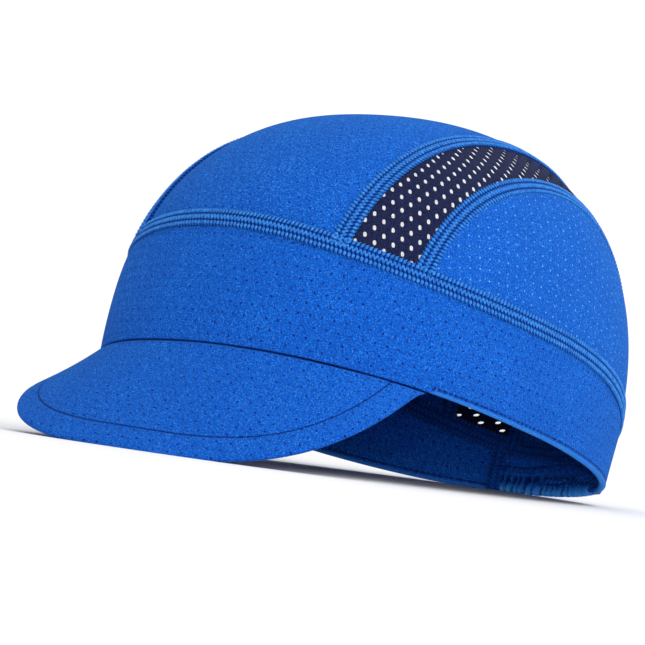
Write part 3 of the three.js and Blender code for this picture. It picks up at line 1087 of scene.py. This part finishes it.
class CAP_OT_mesh_strips(bpy.types.Operator):
    """Make the two navy mesh strips, pierced by slanted rows of oval holes"""

    bl_idname = "cap.mesh_strips"
    bl_label = "Mesh strips"

    def execute(self, context):
        colours = context.scene.cap_colours
        sewing = context.scene.cap_sewing
        navy = mesh_material(colours)
        net = net_material(colours)
        for hand, sign in (("left", 1), ("right", -1)):
            sheet = self.pierced_sheet(sign, sewing)
            name = "mesh_" + hand + "_cloth"
            piece = add_piece(name, sheet, navy, ["mesh_" + hand])
            thicken(piece, sewing.mesh_wall / MM, even=False)
            round_off(piece, 1)
            backing = self.backing_sheet(sign, sewing)
            name = "mesh_" + hand + "_net"
            piece = add_piece(name, backing, net, ["mesh_" + hand])
            thicken(piece, NET_WALL)
        return {"FINISHED"}

    def pierced_sheet(self, sign, sewing):
        """The mesh was knitted flat, so its rows of holes turn slowly against the curved strip."""
        _, lengths, widths = strip_table()
        pitch = sewing.hole_pitch / MM
        columns = 2 * round(MESH_SQUARE / pitch)
        rows = 4 * round(MESH_SQUARE / (2 * pitch))
        sheet = grid(columns, rows)
        u, v = shares(sheet)
        east, north = self.lattice(np.round(u * columns), np.round(v * rows), sewing)
        east -= columns * pitch / 4 - MESH_SQUARE_CORNER
        north -= rows * pitch / 4 - MESH_SQUARE_CORNER
        onward = (north + east) / math.sqrt(2)
        spare = 80
        run = np.linspace(-spare, lengths[-1] + spare, 800)
        turn = math.radians(MESH_TURN) * np.tanh((run - MESH_TURN_MIDDLE) / MESH_TURN_EASE)
        drift = np.cumsum(np.tan(turn)) * (run[1] - run[0])
        drift -= np.interp(MESH_TURN_MIDDLE, run, drift)
        aside = np.interp(onward, run, drift) + (north - east) / math.sqrt(2)
        lean = np.interp(onward, run, turn) + math.radians(MESH_SKEW)
        along = onward - np.tan(lean) * aside
        across = 0.5 + aside / np.interp(along, lengths, widths)
        outside = (across < -0.02) | (across > 1.02) | (along < -5) | (along > lengths[-1] + 5)
        points = strip_points(along, across, sign)
        points = points - form_normal(points) * MESH_SINK
        dropped = self.dropped_faces(sheet, columns, rows, outside)
        lay(sheet, points, np.stack([east, north, np.full(east.shape, FAR_FROM_SEWING)], axis=-1))
        bmesh.ops.delete(sheet, geom=dropped, context="FACES")
        bmesh.ops.remove_doubles(sheet, verts=sheet.verts, dist=MERGE)
        bmesh.ops.dissolve_degenerate(sheet, dist=MERGE, edges=sheet.edges)
        drop_loose(sheet)
        face_out(sheet)
        return sheet

    def lattice(self, column, row, sewing):
        """Narrow and wide lines by turns, so that every other face is the size of a hole."""
        pitch = sewing.hole_pitch / MM
        long = sewing.hole_length / MM / (2 * pitch)
        wide = sewing.hole_width / MM / pitch
        east = pitch * (np.floor(column / 2) + np.where(column % 2 == 1, 1 - wide, 0))
        north = 2 * pitch * (np.floor(row / 2) / 2 + np.where(row % 2 == 1, 0.5 - long, 0))
        return east, north

    def dropped_faces(self, sheet, columns, rows, outside):
        """The faces that are holes, and those with no corner on the strip."""
        kept = {vert.index for vert, away in zip(sheet.verts, outside) if not away}
        dropped = []
        for face in sheet.faces:
            corner = min(face.verts, key=lambda vert: (round(vert.co.x, 6), round(vert.co.y, 6))).co
            column = round((corner.x + 0.5) * columns)
            row = round((corner.y + 0.5) * rows)
            pierced = column % 2 == 1 and row % 4 == (1 if column % 4 == 1 else 3)
            if pierced or not any(vert.index in kept for vert in face.verts):
                dropped.append(face)
        return dropped

    def backing_sheet(self, sign, sewing):
        sheet = grid(90, 8)
        u, v = shares(sheet)
        _, lengths, widths = strip_table()
        along = u * lengths[-1]
        points = strip_points(along, v, sign)
        depth = NET_SINK + 0.4 * sewing.mesh_wall / MM
        flat = np.stack([along, v * widths.max(), np.full(u.shape, FAR_FROM_SEWING)], axis=-1)
        lay(sheet, points - form_normal(points) * depth, flat)
        bmesh.ops.remove_doubles(sheet, verts=sheet.verts, dist=MERGE)
        face_out(sheet)
        return sheet


# Peak


def peak_line(u):
    """One straight line of the peak: where it leaves the rim, its length, and its directions."""
    angle = u * math.radians(PEAK_HALF_ANGLE)
    heading = np.radians(PEAK_FAN * u + PEAK_FAN_EASE * u**3)
    droop = np.radians(PEAK_DROOP + PEAK_TWIST * u + PEAK_DROOP_ENDS * u * u)
    outline = np.maximum(1 - np.abs(u) ** PEAK_SQUARENESS, 0) ** PEAK_ROUNDNESS
    length = (PEAK_LENGTH + PEAK_LENGTH_SKEW * u + PEAK_CORNER_LENGTH * u * u) * outline
    ahead = np.stack([np.sin(heading), -np.cos(heading), 0 * u], axis=-1)
    up = np.array([0, 0, 1])
    along = ahead * np.cos(droop)[..., None] - up * np.sin(droop)[..., None]
    across = ahead * np.sin(droop)[..., None] + up * np.cos(droop)[..., None]
    return form_point(angle, rim_level(angle)), length, along, across


def peak_inset(u, inset):
    """The length along each line of the peak at which it is a distance from the outer edge."""
    root, length, along, _ = peak_line(u)
    edge = root + along * length[:, None]
    tangent = np.gradient(edge, u, axis=0)
    tangent /= np.linalg.norm(tangent, axis=1, keepdims=True)
    straight = np.sqrt(np.maximum(1 - np.sum(along * tangent, axis=1) ** 2, 0.05))
    return length - inset / straight


class CAP_OT_peak(bpy.types.Operator):
    """Make the peak, folded over at its outer edge and pressed in along its stitch line"""

    bl_idname = "cap.peak"
    bl_label = "Peak"

    def execute(self, context):
        colours = context.scene.cap_colours
        inset = context.scene.cap_sewing.peak_stitch / MM
        sheet = grid(180, 84)
        share, round_share = shares(sheet)
        u = np.sin(math.pi * (share - 0.5)) * PEAK_END
        root, length, along, across = peak_line(u)
        lines = np.linspace(-PEAK_END, PEAK_END, 401)
        stitched = np.interp(u, lines, peak_inset(lines, inset))
        half = np.minimum(PEAK_WALL / 2, 0.25 + length / 8)
        # The cloth goes from the root over the top, round the edge and back underneath.
        side = np.where(round_share < 0.5, 1, -1)
        nearest = np.minimum(round_share, 1 - round_share)
        tucked_in = 0.013
        way = np.sin(np.clip((nearest - tucked_in) / (0.5 - tucked_in), 0, 1) * math.pi / 2) ** 1.15
        reach = length * way
        from_edge = np.clip((length - reach) / np.maximum(half * 1.1, 1e-3), 0, 1)
        bulge = half * np.sqrt(np.maximum(1 - (1 - from_edge) ** 2, 0))
        off_corners = np.clip(length / 20, 0, 1)
        pinch = 0.28 * dip(reach - stitched, 0.8) * off_corners
        waves = 0.22 * unevenness(u * 80, reach, 9.0) * off_corners
        offset = side * (bulge - pinch) - half + waves
        offset = np.where(nearest < tucked_in / 2, -half, offset)
        tucked = 1.5 * dip(reach, 0.35)[:, None] * form_normal(root) * np.array([1, 1, 0])
        tucked = tucked + np.array([0, 0, SEAM_GAP])
        points = root + along * reach[:, None] + across * offset[:, None] - tucked
        flat = np.stack([u * 95, np.where(side > 0, reach, -reach), reach - stitched], axis=-1)
        lay(sheet, points, flat)
        bmesh.ops.remove_doubles(sheet, verts=sheet.verts, dist=0.02 * MM)
        bmesh.ops.recalc_face_normals(sheet, faces=sheet.faces)
        material = knit_material("Peak knit", colours, colours.dot_dark, across=3.35, radius=0.34)
        add_piece("peak_cloth", sheet, material, ["peak"])
        return {"FINISHED"}


# Seams and stitches


def add_thread(sheet, start, end, width, height, bulk=1.0):
    """One short thread between two flat places, each as along, across and height."""
    start = np.array(start)
    end = np.array(end)
    middle = (start + end) / 2
    run = end - start
    made = bmesh.ops.create_uvsphere(sheet, u_segments=7, v_segments=4, radius=1.0)["verts"]
    length = float(np.linalg.norm(run)) * bulk
    turn = Matrix.Rotation(math.atan2(run[1], run[0]), 4, "Z") @ Matrix.Rotation(math.pi / 2, 4, "Y")
    size = Matrix.Diagonal((height / 2, width / 2, length / 2, 1))
    bmesh.ops.transform(sheet, matrix=Matrix.Translation(middle) @ turn @ size, verts=made)


def repeat(unit, pitch, count):
    """Repeats a flat unit along the seam, and gives the result as a bmesh."""
    mesh = bpy.data.meshes.new("unit")
    unit.to_mesh(mesh)
    unit.free()
    holder = bpy.data.objects.new("unit", mesh)
    bpy.context.scene.collection.objects.link(holder)
    array = holder.modifiers.new("Repeat", "ARRAY")
    array.use_relative_offset = False
    array.use_constant_offset = True
    array.constant_offset_displace = (pitch, 0, 0)
    array.count = count
    holder_ready = holder.evaluated_get(bpy.context.evaluated_depsgraph_get())
    row = bmesh.new()
    row.from_mesh(holder_ready.to_mesh())
    holder_ready.to_mesh_clear()
    bpy.data.objects.remove(holder)
    bpy.data.meshes.remove(mesh)
    return row


def lay_along(sheet, line):
    flat = np.array([vert.co[:] for vert in sheet.verts])
    lay(sheet, line.place(flat[:, 0], flat[:, 1], flat[:, 2]), flat)


def seam_ground(line, width, rise, depth_at):
    """The raised strip of a flat seam, outside and inside, as a flattened tube."""
    sheet = grid(max(8, round(line.length / 1.2)), 16)
    u, v = shares(sheet)
    along = np.where(u > 1 - 1e-9, 0, u) * line.length if line.closed else u * line.length
    turn = v * 2 * math.pi
    across = signed_power(np.cos(turn), 0.8) * width / 2
    up = signed_power(np.sin(turn), 0.6)
    height = np.where(up > 0, up * rise, up * (depth_at(along) + rise))
    flat = np.stack([u * line.length, across, height], axis=-1)
    lay(sheet, line.place(along, across, height), flat)
    bmesh.ops.remove_doubles(sheet, verts=sheet.verts, dist=0.01 * MM)
    ends = [edge for edge in sheet.edges if edge.is_boundary]
    if ends:
        bmesh.ops.holes_fill(sheet, edges=ends, sides=0)
    bmesh.ops.recalc_face_normals(sheet, faces=sheet.faces)
    return sheet


def seam_stitches(line, sewing, level):
    """Two rows of beaded loops with a zigzag between them, and short teeth at both edges."""
    count = max(2, round(line.length * MM / sewing.stitch_pitch))
    pitch = line.length / count
    half = sewing.seam_width / MM / 2
    thick = sewing.thread_width / MM
    bead = half * 0.42
    row_at = half * 0.72
    zig = half * 0.33
    unit = bmesh.new()
    for sign in (-1, 1):
        start = (0.42 * pitch, sign * (row_at - bead / 2), level)
        end = (0.58 * pitch, sign * (row_at + bead / 2), level - 0.1)
        add_thread(unit, start, end, pitch * 0.8, thick, bulk=1.15)
        tip = (0.9 * pitch, sign * half * 1.09, level - 0.35)
        add_thread(unit, (0.55 * pitch, sign * half * 0.9, level - 0.25), tip, thick * 0.45, thick * 0.5)
    add_thread(unit, (0, -zig, level), (0.5 * pitch, zig, level), thick * 0.9, thick)
    add_thread(unit, (0.5 * pitch, zig, level), (pitch, -zig, level), thick * 0.9, thick)
    return repeat(unit, pitch, count)


def wall_under(upright):
    """How thick the cloth is under a seam, by the length along it: an upright seam starts on the hem."""

    def depth_at(along):
        return np.where(upright & (along < HEM_HEIGHT + 1), HEM_WALL, PANEL_WALL) + 0.1

    return depth_at


class CAP_OT_seams(bpy.types.Operator):
    """Sew the flat seams between the panels, round the band and up the back"""

    bl_idname = "cap.seams"
    bl_label = "Flat seams"

    def execute(self, context):
        colours = context.scene.cap_colours
        sewing = context.scene.cap_sewing
        ground = seam_ground_material(colours)
        thread = thread_material("Seam thread", colours.thread_dark, colours.thread_light)
        inner_thread = thread_material("Inner seam thread", colours.blue_dark, colours.thread_dark)
        lines = {
            "centre_seam_left": lengthwise_seam_line(centre_seam_out, 1),
            "centre_seam_right": lengthwise_seam_line(centre_seam_out, -1),
            "side_seam_left": lengthwise_seam_line(side_seam_out, 1),
            "side_seam_right": lengthwise_seam_line(side_seam_out, -1),
            "upright_seam_left": upright_seam_line(left_seam_angle()),
            "upright_seam_right": upright_seam_line(right_seam_angle()),
            "band_seam": band_seam_line(),
        }
        width = sewing.seam_width / MM
        for name, line in lines.items():
            rise = sewing.seam_rise / MM + SEAM_PROUD.get(name, 0)
            depth_at = wall_under(name.startswith("upright"))
            sheet = seam_ground(line, width, rise, depth_at)
            add_piece(name, sheet, ground)
            stitches = seam_stitches(line, sewing, rise)
            lay_along(stitches, line)
            add_piece(name + "_thread", stitches, thread)
            inside = seam_stitches(line, sewing, rise)
            for vert in inside.verts:
                vert.co.z = -vert.co.z - float(depth_at(vert.co.x))
            bmesh.ops.reverse_faces(inside, faces=inside.faces)
            lay_along(inside, line)
            add_piece(name + "_thread_inside", inside, inner_thread)
        return {"FINISHED"}


class CAP_OT_stitching(bpy.types.Operator):
    """Sew the hem and the peak"""

    bl_idname = "cap.stitching"
    bl_label = "Hem and peak stitching"

    def execute(self, context):
        colours = context.scene.cap_colours
        sewing = context.scene.cap_sewing
        thread = thread_material("Hem thread", colours.seam_shade_and_thread, colours.blue_dark)
        start = math.radians(PEAK_HALF_ANGLE + 1)
        for hand, end in (("left", left_seam_angle()), ("right", right_seam_angle() - 2 * math.pi)):
            angle = np.linspace(math.copysign(start, end), end, 300)
            hem = SeamLine(form_point(angle, rim_level(angle) + sewing.hem_stitch / MM))
            inside = SeamLine(hem.points - hem.normals * HEM_WALL, normals=-hem.normals)
            name = "hem_thread_" + hand
            look = {"pitch": HEM_STITCH_PITCH, "length": 1.3, "width": 0.55, "level": -0.25}
            self.sew(hem, name, thread, "band_cloth", **look)
            name = "hem_thread_inside_" + hand
            self.sew(inside, name, thread, "band_cloth", pitch=2.3, length=1.6, width=0.5, level=-0.15)
        angle = np.linspace(left_seam_angle() + 0.05, right_seam_angle() - 0.05, 300)
        height = np.full(angle.shape, ELASTIC_STITCH_HEIGHT)
        layers = (("elastic_thread", 0.05, 1), ("elastic_thread_inside", HEM_WALL + 0.1, -1))
        for name, depth, sign in layers:
            base = form_point(angle, rim_level(angle) + height)
            normals = form_normal(base)
            base = base + normals * (gather_relief(angle, height) - depth)[:, None]
            self.zigzag(SeamLine(base, normals=sign * normals), name, thread)
        u = np.linspace(-0.93, 0.93, 500)
        root, _, along, across = peak_line(u)
        reach = peak_inset(u, sewing.peak_stitch / MM)
        points = root + along * reach[:, None] + across * -0.25 - np.array([0, 0, SEAM_GAP])
        kept = reach > 1.5
        line = SeamLine(points[kept], normals=across[kept])
        self.sew(line, "peak_thread", thread, "peak_cloth", pitch=2.6, length=2.0, width=0.4, level=-0.05)
        return {"FINISHED"}

    def zigzag(self, line, name, material):
        """The wide zigzag that holds the elastic."""
        count = round(line.length / ELASTIC_STITCH_PITCH)
        pitch = line.length / count
        unit = bmesh.new()
        half = 1.1
        turns = ((0, -half, 0), (pitch / 2, half, 0), (pitch, -half, 0))
        for start, end in zip(turns, turns[1:]):
            add_thread(unit, start, end, 0.75, 0.5)
        row = repeat(unit, pitch, count)
        lay_along(row, line)
        add_piece(name, row, material)

    def sew(self, line, name, material, slot, pitch, length, width, level):
        """A row of running stitches: their pitch, length and width, and how high they lie."""
        count = round(line.length / pitch)
        unit = bmesh.new()
        add_thread(unit, (0.2, 0, level), (0.2 + length, 0, level), width, width * 0.8)
        row = repeat(unit, line.length / count, count)
        lay_along(row, line)
        add_piece(name, row, material)


# Studio


def camera_matrix():
    """The viewpoint, worked out on the upright form and then turned with the cap."""
    azimuth, elevation, roll = np.radians([VIEW_AZIMUTH, VIEW_ELEVATION, VIEW_ROLL])
    back = np.array([
        math.sin(azimuth) * math.cos(elevation),
        -math.cos(azimuth) * math.cos(elevation),
        math.sin(elevation),
    ])
    right = np.array([math.cos(azimuth), math.sin(azimuth), 0])
    up = np.cross(back, right)
    right, up = right * math.cos(roll) + up * math.sin(roll), up * math.cos(roll) - right * math.sin(roll)
    aside = (VIEW_MIDDLE_PIXEL[0] - IMAGE_SIDE / 2) / VIEW_SCALE
    above = -(VIEW_MIDDLE_PIXEL[1] - IMAGE_SIDE / 2) / VIEW_SCALE
    place = np.array(VIEW_MIDDLE) + VIEW_DISTANCE * back - aside * right - above * up
    back, right, up = (turn_with_cap(direction) for direction in (back, right, up))
    place = (turn_with_cap(place) + np.array(REST_SHIFT)) * MM
    matrix = Matrix.Identity(4)
    for column, direction in enumerate((right, up, back, place)):
        for row in range(3):
            matrix[row][column] = float(direction[row])
    return matrix


def add_light(name, azimuth, elevation, softness, strength):
    """A broad soft light from far off, by its direction round the cap and above the floor."""
    light = bpy.data.lights.new(name, "SUN")
    light.angle = math.radians(softness)
    light.energy = strength
    lamp = bpy.data.objects.new(name, light)
    bpy.context.scene.collection.objects.link(lamp)
    lamp.rotation_euler = (math.radians(90 - elevation), 0, math.radians(azimuth))


class CAP_OT_studio(bpy.types.Operator):
    """Set up the floor, the soft light and the camera"""

    bl_idname = "cap.studio"
    bl_label = "Studio"

    def execute(self, context):
        colours = context.scene.cap_colours
        sheet = bmesh.new()
        bmesh.ops.create_circle(sheet, cap_ends=True, segments=96, radius=14)
        floor = bpy.data.objects.new("floor", smooth_mesh(sheet, "floor"))
        context.scene.collection.objects.link(floor)
        material = bpy.data.materials.new("Floor")
        material.use_nodes = True
        tree = material.node_tree
        shader = tree.nodes["Principled BSDF"]
        shader.inputs["Roughness"].default_value = 0.9
        shader.inputs["Specular IOR Level"].default_value = 0.1
        place = tree.nodes.new("ShaderNodeTexCoord").outputs["Object"]
        grain = remap(tree, noise(tree, place, 40.0), 0.3, 0.7, 0.0, 0.03)
        darker = tuple(0.95 * part for part in colours.floor[:3]) + (1.0,)
        tree.links.new(blend_colour(tree, grain, colours.floor, darker), shader.inputs["Base Color"])
        floor.data.materials.append(material)

        world = bpy.data.worlds.new("Studio")
        world.use_nodes = True
        background = world.node_tree.nodes["Background"]
        background.inputs["Color"].default_value = (1, 1, 1, 1)
        tree = world.node_tree
        seen = tree.nodes.new("ShaderNodeLightPath").outputs["Is Camera Ray"]
        tree.links.new(remap(tree, seen, 0.0, 1.0, 0.5, 1.05), background.inputs["Strength"])
        context.scene.world = world

        add_light("Key", azimuth=85, elevation=38, softness=60, strength=1.7)
        add_light("Top", azimuth=200, elevation=70, softness=90, strength=0.95)
        add_light("Fill", azimuth=44, elevation=5, softness=20, strength=1.5)

        view = bpy.data.cameras.new("View")
        view.sensor_width = SENSOR_WIDTH
        view.lens = SENSOR_WIDTH * VIEW_SCALE * VIEW_DISTANCE / IMAGE_SIDE
        view.clip_start = 0.1
        view.clip_end = 60
        camera = bpy.data.objects.new("View", view)
        context.scene.collection.objects.link(camera)
        camera.matrix_world = camera_matrix()
        context.scene.camera = camera
        context.scene.view_settings.view_transform = "Standard"
        return {"FINISHED"}


# Add-on


class CAP_PT_panel(bpy.types.Panel):
    """Lists the cap's sizes, colours and pieces"""

    bl_idname = "CAP_PT_panel"
    bl_label = "Cycling cap"
    bl_space_type = "VIEW_3D"
    bl_region_type = "UI"
    bl_category = "Cap"

    def draw(self, context):
        layout = self.layout
        for group in (context.scene.cap_sewing, context.scene.cap_colours):
            box = layout.box()
            for name in group.bl_rna.properties.keys():
                if name not in ("rna_type", "name"):
                    box.prop(group, name)
        for operator in OPERATORS:
            layout.operator(operator.bl_idname)


OPERATORS = (
    CAP_OT_front_band,
    CAP_OT_back_band,
    CAP_OT_crown_panels,
    CAP_OT_mesh_strips,
    CAP_OT_peak,
    CAP_OT_seams,
    CAP_OT_stitching,
    CAP_OT_studio,
)
CLASSES = (CapColours, CapSewing) + OPERATORS + (CAP_PT_panel,)


def register():
    for cls in CLASSES:
        bpy.utils.register_class(cls)
    bpy.types.Scene.cap_colours = bpy.props.PointerProperty(type=CapColours)
    bpy.types.Scene.cap_sewing = bpy.props.PointerProperty(type=CapSewing)


def unregister():
    del bpy.types.Scene.cap_sewing
    del bpy.types.Scene.cap_colours
    for cls in reversed(CLASSES):
        bpy.utils.unregister_class(cls)


def main():
    register()
    bpy.ops.cap.front_band()
    bpy.ops.cap.back_band()
    bpy.ops.cap.crown_panels()
    bpy.ops.cap.mesh_strips()
    bpy.ops.cap.peak()
    bpy.ops.cap.seams()
    bpy.ops.cap.stitching()
    bpy.ops.cap.studio()


if __name__ == "__main__":
    main()
